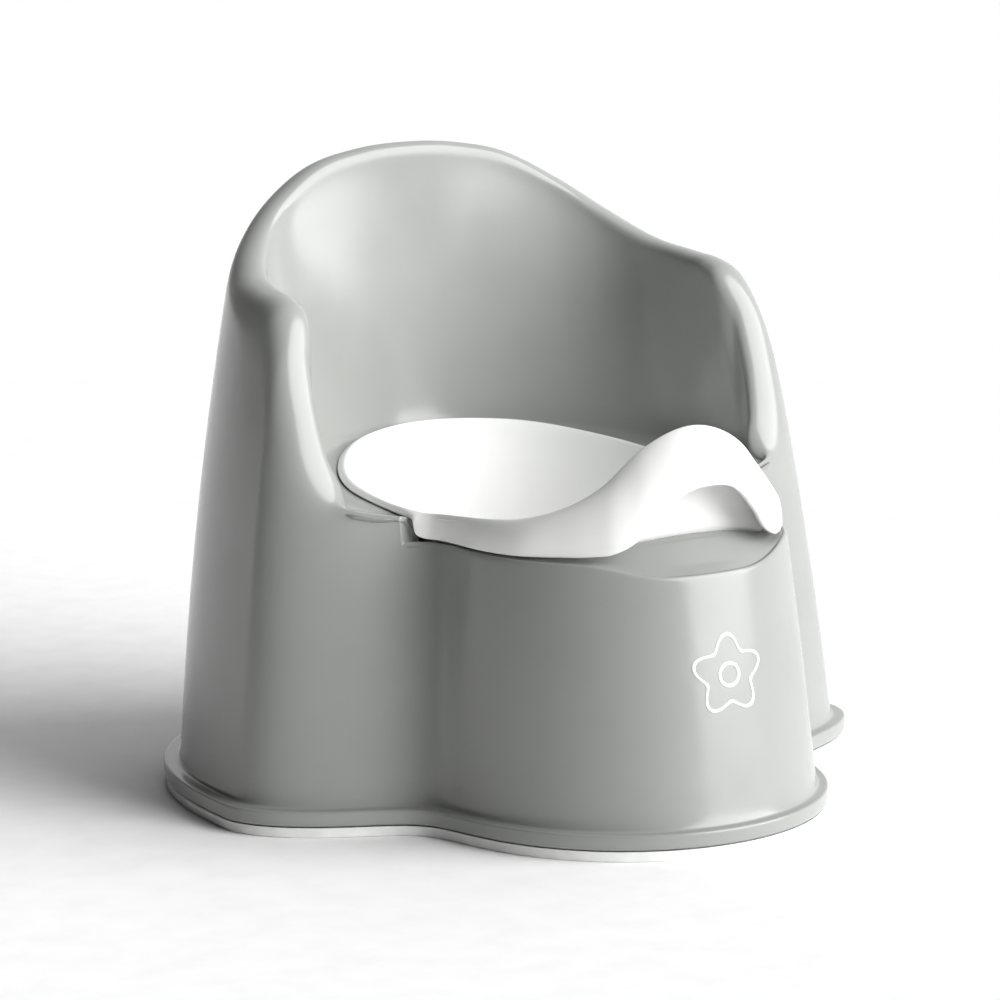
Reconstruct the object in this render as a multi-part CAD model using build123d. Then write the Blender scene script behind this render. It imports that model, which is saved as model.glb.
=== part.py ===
"""Potty training chair: a moulded chair shell, a lift-out potty, its splash guard and an anti-slip strip.

Frame: millimetres, +Z up, the front of the chair towards -Y, origin on the floor
under the middle of the chair's bounding box.
"""
from build123d import *
import math
import os

# Overall size
HALF_WIDTH = 175.0            # rear lobe, at the foot flange
REAR_REACH = 162.5            # rear lobe, behind the origin
FRONT_REACH = 162.5           # front lobe, ahead of the origin
HEIGHT = 294.0                # crest of the backrest

# Plan outline of the foot: a wide rear lobe and a round front lobe
CORNER_REACH = 70.0           # how far the rear lobe reaches forward at its arms
REAR_POWER = 2.4              # squareness of the back half at the foot (2 is an ellipse)
POWER_PER_MM = 0.00114        # the back half grows squarer towards the top
FRONT_RADIUS = 98.0           # front lobe
FRONT_DRAFT = 0.74            # the front lobe draws in less than the rear one
WAIST_BLEND = 34.0            # how softly the two lobes run into each other
OUTLINE_POINTS = 44

# Foot
STRIP_HEIGHT = 5.0
STRIP_WIDTH = 6.0
STRIP_INSET = 1.0
FLANGE_TOP = 12.5
FLANGE_STEP = 7.5

# Walls: the body narrows and leans back as it rises
WALL = 3.0
INSET_PER_MM = 0.0968
INSET_CURVE = 0.00023         # the draft grows with height, so the walls are slightly convex
LEAN_PER_MM = 0.062

# Seat plane, higher at the back than at the front, and the level deck of the front lobe
SEAT_Y = 23.0
SEAT_Z = 146.2
SEAT_SLOPE = 0.115
DECK_Z = 131.5
DECK_REACH = 97.0

# Seat space between the arms and in front of the backrest: (height, half width, rear reach)
SEAT_SPACE = [
    (120.0, 92.0, 106.0),
    (170.0, 104.0, 110.0),
    (230.0, 114.0, 112.0),
    (310.0, 116.0, 118.0),
]
SEAT_SPACE_Y = 10.0
SEAT_SPACE_FRONT = -260.0

# Side view of the top edge, from the waist over the arm to the crest of the back: (y, z)
TOP_EDGE = [
    (-30.0, 149.0),
    (-18.0, 152.0),
    (-12.0, 172.0),
    (-7.0, 200.0),
    (3.0, 224.0),
    (20.0, 235.0),
    (45.0, 239.0),
    (68.0, 246.0),
    (88.0, 257.0),
    (108.0, 273.0),
    (121.0, 286.0),
    (128.0, 292.0),
    (150.0, HEIGHT),
]
WAIST_Y = -52.0

# Potty: half of the rim's plan outline, from the rear to the front
RIM_HALF = [
    (0.0, 102.4),
    (44.0, 87.5),
    (73.5, 58.6),
    (87.0, 25.0),
    (87.2, -11.0),
    (82.0, -52.0),
    (66.0, -86.0),
    (40.0, -108.0),
    (0.0, -117.0),
]
RIM_CENTRE_Y = -7.0
RIM_LIP = 4.0                 # how far the rim reaches out over the seat
RIM_THICKNESS = 3.0
CLEARANCE = 0.3
HOLE_INSET = 1.0
BOWL_WALL = 2.5

# Bowl: (height, how far it is drawn in from the rim)
BOWL_PROFILE = [
    (58.0, 31.0),
    (100.0, 17.0),
    (145.0, 4.5),
    (205.0, -1.5),
]

# Side view of the rim's top, from the crest of the splash guard back to the rear: (y, z)
FOLD_EDGE = [
    (-130.0, 190.0),
    (-120.0, 188.0),
    (-113.0, 177.0),
    (-104.0, 160.5),
    (-86.0, 150.0),
    (-52.0, 146.5),
    (-11.0, 145.9),
    (30.0, 150.3),
    (60.0, 153.7),
    (112.0, 159.7),
]

# Splash guard and wings: an outer sheet, (height, growth of the rim's outline, stretch of its front)
GUARD_WALL = 2.5
GUARD_PROFILE = [
    (131.8, 0.5, 1.17),
    (160.0, 0.5, 1.17),
    (200.0, 0.0, 1.02),
]
WING_REAR_Y = -36.0
WING_GAP = 2.0                # gap between the wings' rear edges and the shell
ARCH_FOOT_X = 35.0
ARCH_ROOF_Z = 164.0
ARCH_REAR_Y = -105.0

# Ramp of the shell under the arch
RAMP_X = 30.0
RAMP_REAR_Y = -114.0
RAMP_FRONT_Y = -135.0
RAMP_TOP_Z = 138.0
RAMP_BASE_Z = 127.5


def seat_z(y):
    """Height of the seat plane at y."""
    return SEAT_Z + SEAT_SLOPE * (y - SEAT_Y)


def outline_radius(angle, inset, rise=0.0):
    """Distance from the origin to the outline: the larger of the two lobes, softly blended."""
    across = abs(math.sin(angle))
    along = math.cos(angle)
    rear_shape = (REAR_REACH, REAR_POWER + POWER_PER_MM * rise)
    reach, power = rear_shape if along > 0 else (CORNER_REACH, 2.0)
    rear = (across / (HALF_WIDTH - inset)) ** power + (abs(along) / (reach - inset)) ** power
    rear = rear ** (-1 / power)
    centre = FRONT_RADIUS - FRONT_REACH
    radius = FRONT_RADIUS - FRONT_DRAFT * inset
    under_root = radius**2 - (centre * across) ** 2
    front = centre * along + math.sqrt(under_root) if under_root > 0 else 0.0
    overlap = max(WAIST_BLEND - abs(rear - front), 0.0) / WAIST_BLEND
    return max(rear, front) + WAIST_BLEND * overlap**2 / 4


def outline(inset, rise=0.0):
    """The plan outline, drawn in by inset and leaning back with its rise above the flange."""
    points = []
    for step in range(OUTLINE_POINTS):
        angle = 2 * math.pi * (step + 0.5) / OUTLINE_POINTS
        radius = outline_radius(angle, inset, rise)
        points.append((radius * math.sin(angle), radius * math.cos(angle) + LEAN_PER_MM * rise))
    return make_face(Spline(*points, periodic=True))


def body_section(height, wall=0.0):
    """The outer wall's plan at a height, drawn in by a wall thickness."""
    rise = height - FLANGE_TOP
    inset = FLANGE_STEP + INSET_PER_MM * rise + INSET_CURVE * rise**2
    return Pos(0, 0, height) * outline(inset + wall, rise)


def body_loft(wall, bottom):
    """The tapered outer body without its top trimmed."""
    heights = [bottom, 90.0, 180.0, HEIGHT + 10]
    return loft([body_section(height, wall) for height in heights])


def above_seat(drop=0.0):
    """A slab that covers everything above the seat plane, lowered by drop."""
    plane = Plane(
        origin=(0, SEAT_Y, SEAT_Z - drop),
        x_dir=(1, 0, 0),
        z_dir=(0, -SEAT_SLOPE, 1),
    )
    return plane * Box(600, 800, 400, align=(Align.CENTER, Align.CENTER, Align.MIN))


def seat_space(grow=0.0):
    """The space for the child: round at the back, open to the front, wider at the top."""
    sections = []
    for height, half_width, rear in SEAT_SPACE:
        half = half_width + grow
        reach = rear + grow - SEAT_SPACE_Y
        arc = EllipticalCenterArc((0, SEAT_SPACE_Y), half, reach, arc_size=180)
        sides = Polyline(
            (-half, SEAT_SPACE_Y),
            (-half, SEAT_SPACE_FRONT),
            (half, SEAT_SPACE_FRONT),
            (half, SEAT_SPACE_Y),
        )
        sections.append(Pos(0, 0, height) * make_face(arc + sides))
    return loft(sections) & above_seat(grow)


def below_top_edge(drop=0.0):
    """Everything under the top edge in side view, lowered and drawn back by drop."""
    start = (WAIST_Y + drop, seat_z(WAIST_Y) - drop)
    edge = [(y + drop, z - drop) for y, z in TOP_EDGE]
    front = (-220.0, seat_z(-220.0) - drop)
    behind = (220.0, HEIGHT - drop)
    top = Spline(start, *edge)
    rest = Polyline(edge[-1], behind, (220.0, -10.0), (-220.0, -10.0), front, start)
    side_view = Plane.YZ * make_face(top + rest)
    return extrude(side_view, 300, both=True)


def rim_outline(inset=0.0, stretch=1.0):
    """The rim's plan outline, drawn in by inset, with its front half stretched forwards."""
    points = []
    mirrored = [(-x, y) for x, y in RIM_HALF[-2:0:-1]]
    for x, y in RIM_HALF + mirrored:
        reach = math.hypot(x, y - RIM_CENTRE_Y)
        scale = (reach - inset) / reach
        far = RIM_CENTRE_Y + (y - RIM_CENTRE_Y) * scale
        points.append((x * scale, far * stretch if far < 0 else far))
    return make_face(Spline(*points, periodic=True))


def front_space(floor_z, gap=0.0):
    """The space over the front lobe's deck that the potty's wings fill."""
    forward = (Align.CENTER, Align.MAX, Align.MIN)
    return Pos(0, WING_REAR_Y + gap, floor_z) * Box(400, 400, HEIGHT, align=forward)


def deck_notch(grow=0.0):
    """The cut that lowers the front lobe's top to the deck, inside the arms' front faces."""
    half_width = DECK_REACH + grow
    forward = (Align.CENTER, Align.MAX, Align.MIN)
    rear_y = WING_REAR_Y + WING_GAP + grow
    return Pos(0, rear_y, DECK_Z - grow) * Box(2 * half_width, 400, HEIGHT, align=forward)


def ramp():
    """The wedge of the front lobe's top that rises inwards under the splash guard's arch."""
    corners = [(RAMP_FRONT_Y, RAMP_BASE_Z), (RAMP_REAR_Y, RAMP_BASE_Z), (RAMP_REAR_Y, RAMP_TOP_Z)]
    side_view = Plane.YZ * make_face(Polyline(*corners, corners[0]))
    return extrude(side_view, RAMP_X, both=True)


def chair_shell():
    """One hollow moulding, open underneath, with a flange round its foot."""
    body = body_loft(0, FLANGE_TOP - 1) & below_top_edge()
    body -= seat_space()
    body -= deck_notch()
    hollow = body_loft(WALL, -5.0) & below_top_edge(WALL)
    hollow -= seat_space(WALL)
    hollow -= deck_notch(WALL)
    flange = Pos(0, 0, STRIP_HEIGHT) * extrude(outline(0), FLANGE_TOP - STRIP_HEIGHT)
    hole = extrude(rim_outline(HOLE_INSET), HEIGHT)
    return body + flange - hollow + ramp() - hole


def anti_slip_strip():
    """A soft ring under the flange."""
    ring = outline(STRIP_INSET) - outline(STRIP_INSET + STRIP_WIDTH)
    return extrude(ring, STRIP_HEIGHT)


def bowl_body(wall=0.0):
    """The bowl's volume, drawn in and raised by a wall, up to above the rim."""
    base = BOWL_PROFILE[0][0]
    return loft([
        Pos(0, 0, height + (wall if height == base else 0)) * rim_outline(inset + wall)
        for height, inset in BOWL_PROFILE
    ])


def below_fold():
    """Everything under the rim's top edge in side view, up to the crest of the splash guard."""
    front = (-220.0, FOLD_EDGE[0][1])
    low = [(220.0, FOLD_EDGE[-1][1]), (220.0, 20.0), (-220.0, 20.0)]
    side_view = make_face(Spline(*FOLD_EDGE) + Polyline(FOLD_EDGE[-1], *low, front, FOLD_EDGE[0]))
    return extrude(Plane.YZ * side_view, 300, both=True)


def inner_potty():
    """The bowl with its front wall rising to the crest, and the rim that rests on the seat."""
    rim_top = above_seat(-CLEARANCE - RIM_THICKNESS)
    rim = (extrude(rim_outline(-RIM_LIP), HEIGHT) & above_seat(-CLEARANCE)) - rim_top
    rim -= front_space(0)
    bowl = bowl_body() & below_fold()
    return rim + bowl - bowl_body(BOWL_WALL)


def guard_volume(wall=0.0):
    return loft([
        Pos(0, 0, height) * rim_outline(wall - growth, stretch)
        for height, growth, stretch in GUARD_PROFILE
    ])


def splash_guard():
    """The outer sheet: a wing on each side of the front lobe, and an arch over its middle."""
    sheet = guard_volume() - guard_volume(GUARD_WALL) - bowl_body()
    sheet = sheet & front_space(0) & below_fold()
    arch = Spline(
        (ARCH_FOOT_X, DECK_Z),
        (ARCH_FOOT_X * 0.55, ARCH_ROOF_Z - 6),
        (0, ARCH_ROOF_Z),
        (-ARCH_FOOT_X * 0.55, ARCH_ROOF_Z - 6),
        (-ARCH_FOOT_X, DECK_Z),
    )
    foot = Polyline(arch @ 1, (-ARCH_FOOT_X, 100.0), (ARCH_FOOT_X, 100.0), arch @ 0)
    opening = Plane(origin=(0, ARCH_REAR_Y, 0), x_dir=(1, 0, 0), z_dir=(0, -1, 0)) * make_face(arch + foot)
    return sheet - extrude(opening, 200)


PARTS = {
    "chair_shell": chair_shell,
    "inner_potty": inner_potty,
    "splash_guard": splash_guard,
    "anti_slip_strip": anti_slip_strip,
}


def main():
    os.makedirs("parts", exist_ok=True)
    for name, make in PARTS.items():
        shape = make()
        export_step(shape, f"parts/{name}.step")
        box = shape.bounding_box()
        print(name, len(shape.solids()), "solid", box.min, box.max)


if __name__ == "__main__":
    main()
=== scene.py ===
"""Potty training chair: a grey moulded chair, a white lift-out potty and a soft anti-slip strip.

Every shape is a set of control curves that run round the chair, joined across by a cubic
B-spline. Shape numbers are millimetres in the chair's own frame: +Z up, front towards -Y.
"""
import math

import bpy
import numpy as np
from mathutils import Matrix, Vector


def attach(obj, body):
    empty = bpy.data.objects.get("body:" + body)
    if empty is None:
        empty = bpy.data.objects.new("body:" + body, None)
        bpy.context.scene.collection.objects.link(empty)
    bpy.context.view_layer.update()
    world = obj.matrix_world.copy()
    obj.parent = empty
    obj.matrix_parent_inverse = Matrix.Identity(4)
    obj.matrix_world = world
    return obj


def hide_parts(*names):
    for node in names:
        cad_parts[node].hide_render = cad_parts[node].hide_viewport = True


bl_info = {
    "name": "Potty Training Chair",
    "version": (1, 0, 0),
    "blender": (4, 5, 0),
    "location": "View3D > Sidebar > Potty Chair",
    "description": "Builds a moulded potty training chair with a lift-out potty",
    "category": "Add Mesh",
}

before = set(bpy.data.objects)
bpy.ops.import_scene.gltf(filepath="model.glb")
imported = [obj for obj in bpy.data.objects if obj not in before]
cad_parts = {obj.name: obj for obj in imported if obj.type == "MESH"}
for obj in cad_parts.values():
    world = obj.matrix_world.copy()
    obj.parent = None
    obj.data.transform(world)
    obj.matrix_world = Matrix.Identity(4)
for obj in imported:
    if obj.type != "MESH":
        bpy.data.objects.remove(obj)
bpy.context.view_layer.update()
MM = 0.001

# Foot outline of the chair, as in the CAD model
HALF_WIDTH = 175.0
REAR_REACH = 162.5
CORNER_REACH = 70.0
REAR_POWER = 2.4
POWER_PER_MM = 0.00114
FRONT_RADIUS = 98.0
FRONT_REACH = 162.5
WAIST_BLEND = 51.0
FRONT_DRAFT = 0.74
STRIP_HEIGHT = 5.0
STRIP_WIDTH = 6.0
FLANGE_TOP = 12.5
FLANGE_STEP = 7.5

# The wall draws in and leans back as it rises above the flange
INSET_PER_MM = 0.0968
INSET_CURVE = 0.00023
LEAN_PER_MM = 0.062

# The level deck of the front lobe: its height, and the turn at which the notch drops to it
DECK_Z = 130.2
LIP_DROP = 6.0
NOTCH_TURN = (110.5, 111.6)

# Printed motif on the front: its middle, and the wall's radius there
MOTIF_HEIGHT = 79.0
MOTIF_ACROSS = 3.0
MOTIF_WALL_RADIUS = 141.0
FLOWER_REACH = 15.0
FLOWER_SWELL = 0.2
FLOWER_MIDDLE = 5.0
PETALS = 5
INK_PROUD = 0.12

# Rows of mesh across each moulding
MOULDING_ROWS = 100
STRIP_ROWS = 40

# Camera and key light; lengths in metres, angles in degrees
CAMERA_AZIMUTH = -33.1
CAMERA_ELEVATION = 11.0
CAMERA_DISTANCE = 2.057
CAMERA_TARGET = (0.0004, 0.0365, 0.1289)
CAMERA_LENS = 154.1
KEY_TOWARDS = (0.7, -0.85, 0.46)
KEY_STRENGTH = 5.2
KEY_SPREAD = 60


# ---------------------------------------------------------------- shape tools

def basis(controls, samples):
    """Clamped uniform cubic B-spline basis, one row per sample and one column per control.

    The recursion is Cox and de Boor's: each degree blends two neighbours of the degree below.
    """
    degree = 3
    inner = np.linspace(0, 1, controls - degree + 1)
    knots = np.concatenate([np.zeros(degree), inner, np.ones(degree)])
    t = np.linspace(0, 1, samples)
    spans = knots.size - 1
    last = spans - degree - 1
    inside = (t[:, None] >= knots[:-1]) & (t[:, None] < knots[1:])
    inside[-1, last] = True
    weights = inside.astype(float)
    for d in range(1, degree + 1):
        count = spans - d
        left = knots[d:d + count] - knots[:count]
        right = knots[d + 1:d + 1 + count] - knots[1:1 + count]
        rise = np.where(left > 0, (t[:, None] - knots[:count]) / np.where(left > 0, left, 1), 0)
        fall = np.where(right > 0, (knots[d + 1:d + 1 + count] - t[:, None])
                        / np.where(right > 0, right, 1), 0)
        weights = rise * weights[:, :count] + fall * weights[:, 1:count + 1]
    return weights


def smooth(value, low, high):
    """0 below low, 1 above high, and 3t^2 - 2t^3 between."""
    t = np.clip((value - low) / (high - low), 0, 1)
    return t * t * (3 - 2 * t)


def through(value, nodes):
    """Cubic Hermite curve through (value, height, ...) nodes.

    Slopes come from the neighbours, held to 2.5 times the gentler side, so a step never overshoots.
    """
    nodes = np.asarray(nodes, float)
    knot, height = nodes[:, 0], nodes[:, 1:]
    secant = np.diff(height, axis=0) / np.diff(knot)[:, None]
    before, after = np.vstack([secant[:1], secant]), np.vstack([secant, secant[-1:]])
    most = np.where(before * after > 0, 2.5 * np.minimum(np.abs(before), np.abs(after)), 0)
    slope = np.clip(np.gradient(height, knot, axis=0), -most, most)
    value = np.clip(value, knot[0], knot[-1])
    index = np.clip(np.searchsorted(knot, value, side="right") - 1, 0, len(knot) - 2)
    span = (knot[index + 1] - knot[index])[:, None]
    t = (value - knot[index])[:, None] / span
    start = height[index] * (1 + 2 * t) * (1 - t) ** 2 + slope[index] * span * t * (1 - t) ** 2
    end = height[index + 1] * (3 - 2 * t) * t**2 - slope[index + 1] * span * t**2 * (1 - t)
    return (start + end).squeeze()


def loop_curve(angle, nodes):
    """A closed curve, alike on both sides, through (turn, x, y, z) nodes; turn runs 0 to 180."""
    nodes = np.asarray(nodes, float)
    ahead = nodes[1:3] * [-1, -1, 1, 1]
    beyond = nodes[-3:-1] * [-1, -1, 1, 1] + [360, 0, 0, 0]
    whole = np.vstack([ahead[::-1], nodes, beyond[::-1]])
    points = through(np.degrees(np.abs(angle)), whole)
    points[:, 0] *= np.sign(angle)
    return points


def grid_mesh(name, rows, close_last=False):
    """A mesh from rows of points, shape (rows, around, 3), closed around; the last row may be a pole."""
    count, around = rows.shape[:2]
    ring = np.arange(around)
    nxt = np.roll(ring, -1)
    start = (np.arange(count - 1) * around)[:, None]
    quads = np.stack([start + ring, start + around + ring, start + around + nxt, start + nxt], -1)
    quads = quads.reshape(-1, 4)
    points = rows.reshape(-1, 3) * MM
    faces = quads.tolist()
    if close_last:
        pole = len(points)
        points = np.vstack([points, rows[-1].mean(0) * MM])
        base = (count - 1) * around
        faces += np.stack([base + ring, np.full(around, pole), base + nxt], -1).tolist()
    mesh = bpy.data.meshes.new(name)
    mesh.from_pydata(points.tolist(), [], faces)
    mesh.validate()
    mesh.polygons.foreach_set("use_smooth", np.ones(len(mesh.polygons), bool))
    mesh.update()
    piece = bpy.data.objects.new(name, mesh)
    bpy.context.scene.collection.objects.link(piece)
    return piece


# ---------------------------------------------------------------- the chair's outline

def outline_radius(angle, inset, rise=0.0):
    """Reach of the outline: the larger of a rear super-ellipse and a front circle, softly blended."""
    across = np.abs(np.sin(angle))
    along = np.cos(angle)
    back = along > 0
    reach = np.where(back, REAR_REACH, CORNER_REACH) - inset
    power = np.where(back, REAR_POWER + POWER_PER_MM * rise, 2.0)
    rear = (across / (HALF_WIDTH - inset)) ** power + (np.abs(along) / reach) ** power
    rear = rear ** (-1 / power)
    centre = FRONT_RADIUS - FRONT_REACH
    root = (FRONT_RADIUS - FRONT_DRAFT * inset) ** 2 - (centre * across) ** 2
    front = np.where(root > 0, centre * along + np.sqrt(np.maximum(root, 0)), 0)
    overlap = np.maximum(WAIST_BLEND - np.abs(rear - front), 0) / WAIST_BLEND
    return np.maximum(rear, front) + WAIST_BLEND * overlap**3 / 6


def ring(angle, inset, z, rise=0.0):
    """The outline as points, drawn in by inset and leaning back with rise."""
    radius = outline_radius(angle, inset, rise)
    return np.column_stack([
        radius * np.sin(angle),
        radius * np.cos(angle) + LEAN_PER_MM * rise,
        np.broadcast_to(z, angle.shape),
    ])


def wall(angle, z, deep=0.0):
    """The outer wall at height z, or deep mm inside it.

    Inset = step + a rise + b rise^2 above the flange; the lean back grows evenly with rise.
    """
    rise = np.maximum(z - FLANGE_TOP, 0)
    inset = FLANGE_STEP + INSET_PER_MM * rise + INSET_CURVE * rise**2 + deep
    return ring(angle, inset, z, rise)


# Height of the top edge: turn from the rear in degrees, then z
TOP_EDGE = [
    (-15, 291.6), (0, 293.3), (15, 291.6), (30, 284.7), (42, 270.5), (52, 255.8), (62, 244),
    (75, 238.5), (82, 236.5), (87, 230), (90.5, 215.5), (94, 188), (97, 164), (100, 149.5),
    (104, 144.4), (110, 141.8),
]


def top_height(angle):
    """Height of the shell's top edge round the chair, from the backrest to the front lip."""
    turn = np.degrees(np.abs(angle))
    rear = through(turn, TOP_EDGE)
    deck = smooth(turn, *NOTCH_TURN)
    lip = DECK_Z - LIP_DROP * smooth(turn, 154, 172)
    return rear + (lip - rear) * deck


def round_angles(count):
    """Angles round the chair, closer together at the arm fronts, the notch and the arch's feet."""
    coarse = np.linspace(-np.pi, np.pi, 4001)
    turn = np.degrees(np.abs(coarse))
    density = 1 + 3 * np.exp(-((turn - 95) / 8) ** 2) + 9 * np.exp(-((turn - 112) / 2.5) ** 2)
    density += 2 * np.exp(-((turn - 163) / 5) ** 2)
    total = np.concatenate([[0], np.cumsum((density[1:] + density[:-1]) / 2)])
    steps = np.arange(count) / count
    return np.interp(steps, total / total[-1], coarse)


# Curves round the chair: turn from the rear in degrees, then x, y, z.
# HOLE is the edge of the opening for the potty, SEAT_FOOT where the seat meets the arms and back,
# FOLD the crest of the potty's rim and guard, and EDGE the free edge of the rim, wings and arch.
HOLE = [
    (0, 0, 106, 153), (25, 45.5, 91, 152), (50, 76, 60, 148), (75, 87, 25, 143), (97, 88, -12, 140),
    (105, 88, -22, 139), (110.5, 87, -28.2, 138), (111.6, 86.6, -29.4, 130.5), (113, 85.8, -30.8, 130),
    (116, 83, -35, 130), (120, 79.5, -42, 130), (125, 77.5, -52, 130), (134, 73, -69, 130),
    (143, 66, -87.5, 130), (158, 43.5, -110.5, 134), (170, 21.5, -117.5, 138.5), (180, 0, -119.8, 140),
]
SEAT_FOOT = [
    (0, 0, 112, 155), (25, 51, 97, 154), (50, 87, 68, 150), (70, 109, 36, 146.5), (85, 120, 12, 145),
    (92, 122, 0, 145), (98, 117, -10, 144.6), (104, 106, -20, 143.4), (112, 90, -30.5, 132),
    (120, 81.8, -41.6, 130),
    (125, 79.8, -50.5, 130), (134, 77.5, -69, 130), (143, 71, -89, 130), (150, 62, -103, 130),
    (157, 50, -114, 130), (163, 38.5, -122.5, 129.5), (170, 23, -129, 128.5), (180, 0, -132, 128),
]
FOLD = [
    (0, 0, 102.4, 158.0), (26.7, 44, 87.5, 156.3), (51.4, 72, 58.6, 150.8), (74, 84.5, 25, 146),
    (97, 86, -12, 143.3), (106, 85.8, -25, 143.3), (111.2, 85, -31.8, 143.4), (117, 82.4, -38.5, 143.7),
    (121, 80.8, -44.2, 144), (127, 78.3, -54.3, 144.6), (134, 74.8, -69.6, 145.7), (143, 66.2, -89, 148.5),
    (159, 43, -112, 163.5), (168, 26, -118.5, 180), (180, 0, -121, 189),
]
EDGE = [
    (0, 0, 107, 155.5), (26.7, 47, 91.5, 154), (51.4, 76, 60.5, 148.5), (74, 88.5, 25, 143.7),
    (97, 90, -12, 141), (106, 90.8, -25.5, 140.8), (109.5, 91.2, -30, 140.6), (111.2, 91.4, -31.8, 138),
    (112.4, 91, -32.8, 134.6), (114.3, 88.8, -34.8, 132.5), (117, 86, -37.2, 131.9), (121, 83.2, -43, 131.8),
    (127, 81.5, -54.3, 131.7), (134, 80, -70, 131.7), (143, 73, -91.5, 132), (150, 63, -105, 132.6),
    (157, 51.5, -118, 133.6), (160.5, 44.5, -124.5, 135), (163.5, 37, -128.5, 139), (168, 28, -132, 149),
    (173.5, 15, -136, 160.5), (180, 0, -138, 164),
]


# The bowl below its fold: reach as a share of the fold's, and height
BOWL_LEVELS = (
    (0.93, 118), (0.88, 95), (0.8, 72), (0.72, 63), (0.6, 61), (0.4, 60.5), (0.02, 60.5),
)


def shell_rows(angle):
    """Control curves of the shell from under its flange, up the wall, over the top and down to the seat.

    The roll over the top is thick mm wide and drop mm deep. On the inside the drop is held below the
    fall to the seat, as fall drop / (fall + drop), so the roll flattens where arm and seat meet.
    """
    turn = np.degrees(np.abs(angle))
    top = top_height(angle)
    front = smooth(turn, 103, 111)
    steep = 1 + 1.6 * np.exp(-((turn - 94) / 5) ** 2)
    thick = 13 + 10 * smooth(turn, 40, 82) - 8 * smooth(turn, 87, 97)
    thick += 1.4 * smooth(turn, 118, 130) - 13.4 * smooth(turn, 97, 104)
    drop = (9 + 3 * smooth(turn, 45, 80) - 10 * front) * steep
    hole = loop_curve(angle, HOLE)
    foot = loop_curve(angle, SEAT_FOOT)
    notch = smooth(turn, 103, 109) * (1 - smooth(turn, 118, 130))    # the seat's edge keeps to the wall here
    foot += (wall(angle, top - 0.3, thick + 0.8) - foot) * notch[:, None]
    fall = np.maximum(top - foot[:, 2], 0.01)
    inner_drop = fall * drop / (fall + drop)
    rows = [
        ring(angle, 12, STRIP_HEIGHT + 0.2),
        ring(angle, 0.8, STRIP_HEIGHT + 0.2),
        ring(angle, 0, STRIP_HEIGHT + 0.3),
        ring(angle, 0, FLANGE_TOP - 3.5),
        ring(angle, 0, FLANGE_TOP - 0.3),
        ring(angle, 0.8, FLANGE_TOP),
        ring(angle, 3.5, FLANGE_TOP),
        ring(angle, 6.5, FLANGE_TOP),
        ring(angle, 7.2, FLANGE_TOP + 1.0),
        wall(angle, FLANGE_TOP + 4.0),
    ]
    base = FLANGE_TOP + 14.0
    shoulder = top - drop * 1.8
    for part in np.linspace(0, 1, 7):
        rows.append(wall(angle, base + (shoulder - base) * part))
    for across, down in ((0.0, 1.0), (0.04, 0.42), (0.2, 0.02), (0.5, -0.12)):
        rows.append(wall(angle, top - drop * down, across * thick))
    for across, down in ((0.8, 0.02), (0.96, 0.42)):
        rows.append(wall(angle, top - inner_drop * down, across * thick))
    inner_top = wall(angle, top - inner_drop, thick)
    for part in (0.0, 0.2, 0.45, 0.7, 0.9):
        rows.append(inner_top + (foot - inner_top) * part)
    rows.append(foot + (hole - foot) * 0.12)
    rows.append(foot + (hole - foot) * 0.6)
    rows.append(hole)
    rows.append(hole - [0, 0, 0.6])
    rows.append(hole - [0, 0, 6])
    return np.array(rows)


def build_grid(name, rows, samples, close_last=False):
    """A mesh whose rows are a B-spline of the control curves: surface = basis x curves."""
    surface = np.einsum("sc,cap->sap", basis(len(rows), samples), rows)
    return grid_mesh(name, surface, close_last)


def potty_rows(angle):
    """Control curves of the potty: its outer sheet up to the fold, then the bowl down to its middle.

    The outer sheet is flat at the rim, upright at the wings and a deep apron at the hood. The bowl is the
    fold's plan scaled by a reach that falls with height, with its middle 8 mm behind the fold's.
    """
    fold = loop_curve(angle, FOLD)
    edge = loop_curve(angle, EDGE)
    turn = np.degrees(np.abs(angle))
    hood = smooth(turn, 118, 160)[:, None]
    wing = smooth(turn, 100, 110)[:, None]
    plan = np.column_stack([np.sin(angle), np.cos(angle), 0 * angle])
    up = np.array([0, 0, 1.0])
    side = edge + (fold - edge) * [0.05, 0.05, 0.55]
    flat = fold + (edge - fold) * [0.7, 0.7, 0.5]
    rows = [
        edge,
        edge + (fold - edge) * [0.0, 0.0, 0.12],
        flat + (side - flat) * wing,
        fold + (edge - fold) * [0.5, 0.5, 0.1],
        fold + 0.2 * up + 0.8 * plan,
        fold - 0.3 * up - 0.4 * plan,
        fold - (3.5 + 3 * hood) * up - 1.6 * plan,
    ]
    draw = (0.965 - 0.035 * smooth(turn, 98, 108) * (1 - smooth(turn, 132, 148)))[:, None]
    deep = fold * [1, 1, 0] * draw + [0, 0.3, 0]
    rows.append(deep + up * (fold[:, 2:] - 14 - 10 * hood))
    for reach, z in BOWL_LEVELS:
        rows.append(fold * [reach, reach, 0] + [0, 8 * (1 - reach), z])
    return np.array(rows)


def strip_rows(angle):
    """Closed section of the anti-slip strip: a flat ring with rounded lower corners."""
    inner = 1.0 + STRIP_WIDTH
    section = (
        (inner, 4.8), (inner, 1.2), (inner - 0.2, 0.1), (inner - 1.2, 0.0), (4.0, 0.0), (2.2, 0.0),
        (1.2, 0.1), (1.0, 1.2), (1.0, 3.0), (1.0, 4.8),
    )
    return np.array([ring(angle, inset, z) for inset, z in section])


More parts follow.
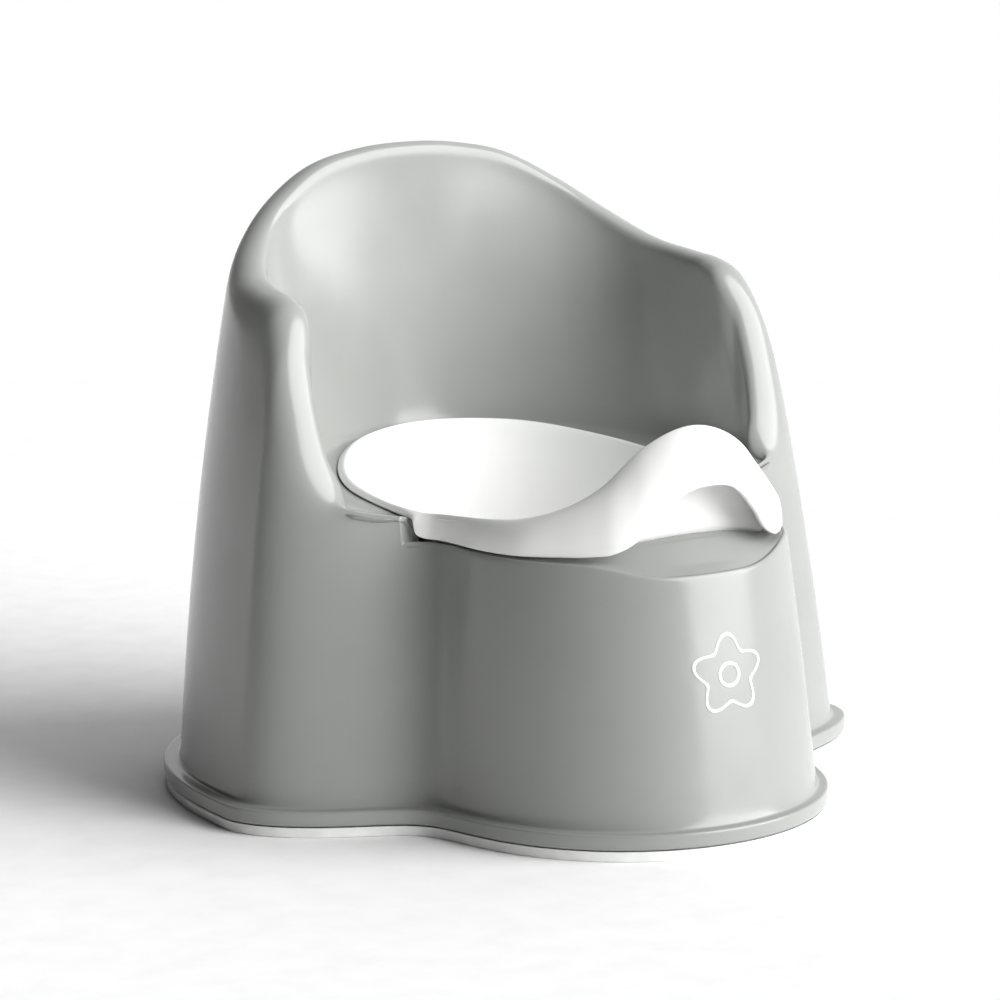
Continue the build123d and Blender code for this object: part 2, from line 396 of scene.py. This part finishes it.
def motif_rows(reach, petals, swell, half_width):
    """A printed line on the front: r = reach (1 + swell cos(petals s)), laid on the outer wall.

    Across and up are distances on the wall, so the angle round the chair is pi minus across / radius.
    """
    s = np.linspace(0, 2 * np.pi, 361)[:-1]
    rows = []
    section = (
        (-half_width, -0.05), (-half_width, INK_PROUD), (half_width, INK_PROUD), (half_width, -0.05),
    )
    for offset, proud in section:
        radius = reach * (1 + swell * np.cos(petals * s)) + offset
        z = MOTIF_HEIGHT + radius * np.cos(s)
        angle = np.pi - (MOTIF_ACROSS + radius * np.sin(s)) / MOTIF_WALL_RADIUS
        rows.append(wall(angle, z, -proud / FRONT_DRAFT))
    return np.array(rows)


def thicken(piece, wall_m):
    """A Solidify modifier: the moulding's wall, grown inward from its surface."""
    solid = piece.modifiers.new("wall", "SOLIDIFY")
    solid.thickness = wall_m
    solid.offset = -1
    solid.use_quality_normals = True


# ---------------------------------------------------------------- materials

def linear(code):
    """An sRGB hex colour as linear RGBA."""
    value = np.array([int(code[i:i + 2], 16) for i in (1, 3, 5)]) / 255
    value = np.where(value <= 0.04045, value / 12.92, ((value + 0.055) / 1.055) ** 2.4)
    return (*value.tolist(), 1.0)


def add_node(tree, kind, inputs=(), **settings):
    """A node with its settings; each input is a value or another node's socket."""
    node = tree.nodes.new(kind)
    for name, value in settings.items():
        setattr(node, name, value)
    for key, value in dict(inputs).items():
        if isinstance(value, bpy.types.NodeSocket):
            tree.links.new(value, node.inputs[key])
        else:
            node.inputs[key].default_value = value
    return node


def noise(tree, place, size_mm, detail=2.0):
    """Noise with features about size_mm across, in object space."""
    settings = {"Vector": place, "Scale": 1000.0 / size_mm, "Detail": detail, "Roughness": 0.5}
    return add_node(tree, "ShaderNodeTexNoise", settings).outputs["Fac"]


def spread(tree, value, low, high):
    """A noise value's middle range spread over low to high."""
    limits = {"Value": value, "From Min": 0.3, "From Max": 0.7, "To Min": low, "To Max": high}
    return add_node(tree, "ShaderNodeMapRange", limits).outputs["Result"]


def mix(tree, factor, first, second):
    """A colour between two: the first where the factor is 0, the second where it is 1."""
    colours = {"Factor": factor, "A": first, "B": second}
    node = add_node(tree, "ShaderNodeMix", data_type="RGBA")
    for key, index in (("Factor", 0), ("A", 6), ("B", 7)):
        value = colours[key]
        if isinstance(value, bpy.types.NodeSocket):
            tree.links.new(value, node.inputs[index])
        else:
            node.inputs[index].default_value = value
    return node.outputs[2]


def new_material(name):
    """An empty node material: its tree, its shader and its object-space coordinates."""
    made = bpy.data.materials.new(name)
    made.use_nodes = True
    tree = made.node_tree
    place = tree.nodes.new("ShaderNodeTexCoord").outputs["Object"]
    return made, tree, tree.nodes["Principled BSDF"], place


def moulded_plastic(name, light, dark, rough_low, rough_high):
    """Gloss injection-moulded polypropylene.

    The eye reads it by its soft, slightly uneven gloss, by a faint waviness where the wall shrank in
    the mould, and by a colour that is very slightly cloudy.
    """
    made, tree, shader, place = new_material(name)
    cloud = noise(tree, place, 55.0, 3.0)
    colour = mix(tree, spread(tree, cloud, 0, 1), linear(dark), linear(light))
    tree.links.new(colour, shader.inputs["Base Color"])
    handling = noise(tree, place, 14.0, 5.0)
    tree.links.new(spread(tree, handling, rough_low, rough_high), shader.inputs["Roughness"])
    waves = {"Height": noise(tree, place, 38.0, 1.0), "Distance": 0.0011, "Strength": 0.12}
    shrink = add_node(tree, "ShaderNodeBump", waves).outputs["Normal"]
    skin = {"Height": noise(tree, place, 1.6, 1.0), "Distance": 0.00006, "Strength": 0.25, "Normal": shrink}
    peel = add_node(tree, "ShaderNodeBump", skin)
    tree.links.new(peel.outputs["Normal"], shader.inputs["Normal"])
    shader.inputs["IOR"].default_value = 1.49
    return made


def strip_rubber():
    """White thermoplastic elastomer: satin, with a fine grain that breaks up any highlight."""
    made, tree, shader, place = new_material("thermoplastic_elastomer")
    scuff = noise(tree, place, 9.0, 4.0)
    colour = mix(tree, spread(tree, scuff, 0, 1), linear("#E3E4E2"), linear("#F0F1EF"))
    tree.links.new(colour, shader.inputs["Base Color"])
    tree.links.new(spread(tree, scuff, 0.55, 0.42), shader.inputs["Roughness"])
    texture = {"Height": noise(tree, place, 0.7, 2.0), "Distance": 0.0001, "Strength": 0.4}
    grain = add_node(tree, "ShaderNodeBump", texture)
    tree.links.new(grain.outputs["Normal"], shader.inputs["Normal"])
    return made


def printed_ink():
    """Opaque white pad-printing ink: flat, a little matt, with tiny specks where it is thin."""
    made, tree, shader, place = new_material("pad_print_ink")
    speck = noise(tree, place, 1.1, 4.0)
    colour = mix(tree, spread(tree, speck, 0, 1), linear("#EEEFEE"), linear("#FBFBFB"))
    tree.links.new(colour, shader.inputs["Base Color"])
    tree.links.new(spread(tree, speck, 0.32, 0.45), shader.inputs["Roughness"])
    return made


def paper_sweep():
    """Matt white background paper with a faint fibre mottle."""
    made, tree, shader, place = new_material("background_paper")
    fibre = noise(tree, place, 20.0, 6.0)
    colour = mix(tree, spread(tree, fibre, 0, 1), linear("#F6F6F6"), linear("#FCFCFC"))
    tree.links.new(colour, shader.inputs["Base Color"])
    shader.inputs["Roughness"].default_value = 0.9
    shader.inputs["Specular IOR Level"].default_value = 0.1
    return made


# ---------------------------------------------------------------- stage

def add_camera():
    """A long lens, a little above the seat, that sees the front and the chair's right side."""
    azimuth, elevation = math.radians(CAMERA_AZIMUTH), math.radians(CAMERA_ELEVATION)
    flat = math.cos(elevation)
    back = Vector((math.sin(azimuth) * flat, -math.cos(azimuth) * flat, math.sin(elevation)))
    right = Vector((math.cos(azimuth), math.sin(azimuth), 0))
    lens = bpy.data.cameras.new("camera")
    lens.sensor_width = 36
    lens.lens = CAMERA_LENS
    camera = bpy.data.objects.new("camera", lens)
    bpy.context.scene.collection.objects.link(camera)
    place = Matrix((right, back.cross(right), back)).transposed().to_4x4()
    place.translation = Vector(CAMERA_TARGET) + back * CAMERA_DISTANCE
    camera.matrix_world = place
    bpy.context.scene.camera = camera


def add_key(towards, strength, spread_degrees):
    """Soft directional light that comes from the direction given."""
    lamp = bpy.data.lights.new("key", "SUN")
    lamp.energy = strength
    lamp.angle = math.radians(spread_degrees)
    holder = bpy.data.objects.new("key", lamp)
    bpy.context.scene.collection.objects.link(holder)
    holder.location = Vector(towards)
    holder.rotation_euler = Vector(towards).to_track_quat("Z", "Y").to_euler()


def add_world():
    """Studio walls: white behind and to the right, dark on the left, as a smooth run over direction x."""
    world = bpy.data.worlds.new("studio")
    world.use_nodes = True
    tree = world.node_tree
    direction = tree.nodes.new("ShaderNodeTexCoord").outputs["Generated"]
    across = add_node(tree, "ShaderNodeSeparateXYZ", {"Vector": direction}).outputs["X"]
    limits = {"Value": across, "From Min": -0.35, "From Max": 0.5, "To Min": 0.0, "To Max": 0.95}
    bright = add_node(tree, "ShaderNodeMapRange", limits, interpolation_type="SMOOTHSTEP")
    background = tree.nodes["Background"]
    tree.links.new(bright.outputs["Result"], background.inputs["Color"])
    background.inputs["Strength"].default_value = 1.0
    bpy.context.scene.world = world


def add_floor():
    """A large pale floor plane."""
    reach = 40.0
    corners = [(-reach, -reach, 0), (reach, -reach, 0), (reach, reach, 0), (-reach, reach, 0)]
    mesh = bpy.data.meshes.new("floor")
    mesh.from_pydata(corners, [], [(0, 1, 2, 3)])
    floor = bpy.data.objects.new("floor", mesh)
    bpy.context.scene.collection.objects.link(floor)
    mesh.materials.append(paper_sweep())


# ---------------------------------------------------------------- add-on

class ChairSettings(bpy.types.PropertyGroup):
    shell_wall: bpy.props.FloatProperty(
        name="Shell wall", description="Wall thickness of the chair", default=0.003,
        min=0.001, unit="LENGTH")
    potty_wall: bpy.props.FloatProperty(
        name="Potty wall", description="Wall thickness of the potty", default=0.0024,
        min=0.001, unit="LENGTH")
    around: bpy.props.IntProperty(
        name="Around", description="Points round the chair", default=480, min=96)
    print_width: bpy.props.FloatProperty(
        name="Print width", description="Width of the printed line", default=0.0016, unit="LENGTH")
    shell_gloss: bpy.props.FloatProperty(
        name="Shell roughness", description="Roughness of the grey plastic", default=0.2,
        min=0, max=1, subtype="FACTOR")


def finish_piece(piece, material, body):
    """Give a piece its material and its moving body."""
    piece.data.materials.append(material)
    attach(piece, body)


class CHAIR_OT_build_shell(bpy.types.Operator):
    """Build the grey moulded chair"""
    bl_idname = "potty_chair.build_shell"
    bl_label = "Build Chair Shell"

    def execute(self, context):
        settings = context.scene.potty_chair
        piece = build_grid("moulded_shell", shell_rows(round_angles(settings.around)), MOULDING_ROWS)
        thicken(piece, settings.shell_wall)
        gloss = settings.shell_gloss
        plastic = moulded_plastic("grey_polypropylene", "#969895", "#929491", gloss - 0.02, gloss + 0.03)
        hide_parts("chair_shell")
        finish_piece(piece, plastic, "chair")
        return {"FINISHED"}


class CHAIR_OT_build_potty(bpy.types.Operator):
    """Build the white lift-out potty with its splash guard"""
    bl_idname = "potty_chair.build_potty"
    bl_label = "Build Potty"

    def execute(self, context):
        settings = context.scene.potty_chair
        piece = build_grid("moulded_potty", potty_rows(round_angles(settings.around)), MOULDING_ROWS, True)
        thicken(piece, settings.potty_wall)
        plastic = moulded_plastic("white_polypropylene", "#F6F6F5", "#F1F2F0", 0.15, 0.22)
        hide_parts("inner_potty", "splash_guard")
        finish_piece(piece, plastic, "potty")
        return {"FINISHED"}


class CHAIR_OT_build_strip(bpy.types.Operator):
    """Build the soft strip under the foot"""
    bl_idname = "potty_chair.build_strip"
    bl_label = "Build Anti-slip Strip"

    def execute(self, context):
        settings = context.scene.potty_chair
        piece = build_grid("foot_strip", strip_rows(round_angles(settings.around)), STRIP_ROWS)
        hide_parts("anti_slip_strip")
        finish_piece(piece, strip_rubber(), "chair")
        return {"FINISHED"}


class CHAIR_OT_build_motif(bpy.types.Operator):
    """Print a plain flower outline on the front"""
    bl_idname = "potty_chair.build_motif"
    bl_label = "Print Front Motif"

    def execute(self, context):
        half = context.scene.potty_chair.print_width / MM / 2
        ink = printed_ink()
        prints = (("flower_outline", FLOWER_REACH, FLOWER_SWELL), ("flower_middle", FLOWER_MIDDLE, 0.0))
        for name, reach, swell in prints:
            piece = grid_mesh(name, motif_rows(reach, PETALS, swell, half))
            finish_piece(piece, ink, "chair")
        return {"FINISHED"}


class CHAIR_OT_build_stage(bpy.types.Operator):
    """Add the floor, the studio light and the camera"""
    bl_idname = "potty_chair.build_stage"
    bl_label = "Build Stage"

    def execute(self, context):
        add_floor()
        add_world()
        add_key(KEY_TOWARDS, KEY_STRENGTH, KEY_SPREAD)
        add_camera()
        context.scene.view_settings.view_transform = "Standard"
        return {"FINISHED"}


class CHAIR_PT_panel(bpy.types.Panel):
    bl_label = "Potty Chair"
    bl_idname = "CHAIR_PT_panel"
    bl_space_type = "VIEW_3D"
    bl_region_type = "UI"
    bl_category = "Potty Chair"

    def draw(self, context):
        settings = context.scene.potty_chair
        for name in ("shell_wall", "potty_wall", "around", "print_width", "shell_gloss"):
            self.layout.prop(settings, name)
        for operator in OPERATORS:
            self.layout.operator(operator.bl_idname)


OPERATORS = (
    CHAIR_OT_build_shell, CHAIR_OT_build_potty, CHAIR_OT_build_strip, CHAIR_OT_build_motif,
    CHAIR_OT_build_stage,
)
CLASSES = (ChairSettings, *OPERATORS, CHAIR_PT_panel)


def register():
    for cls in CLASSES:
        bpy.utils.register_class(cls)
    bpy.types.Scene.potty_chair = bpy.props.PointerProperty(type=ChairSettings)


def unregister():
    del bpy.types.Scene.potty_chair
    for cls in reversed(CLASSES):
        bpy.utils.unregister_class(cls)


def main():
    register()
    for step in ("build_shell", "build_potty", "build_strip", "build_motif", "build_stage"):
        getattr(bpy.ops.potty_chair, step)()


if __name__ == "__main__":
    main()
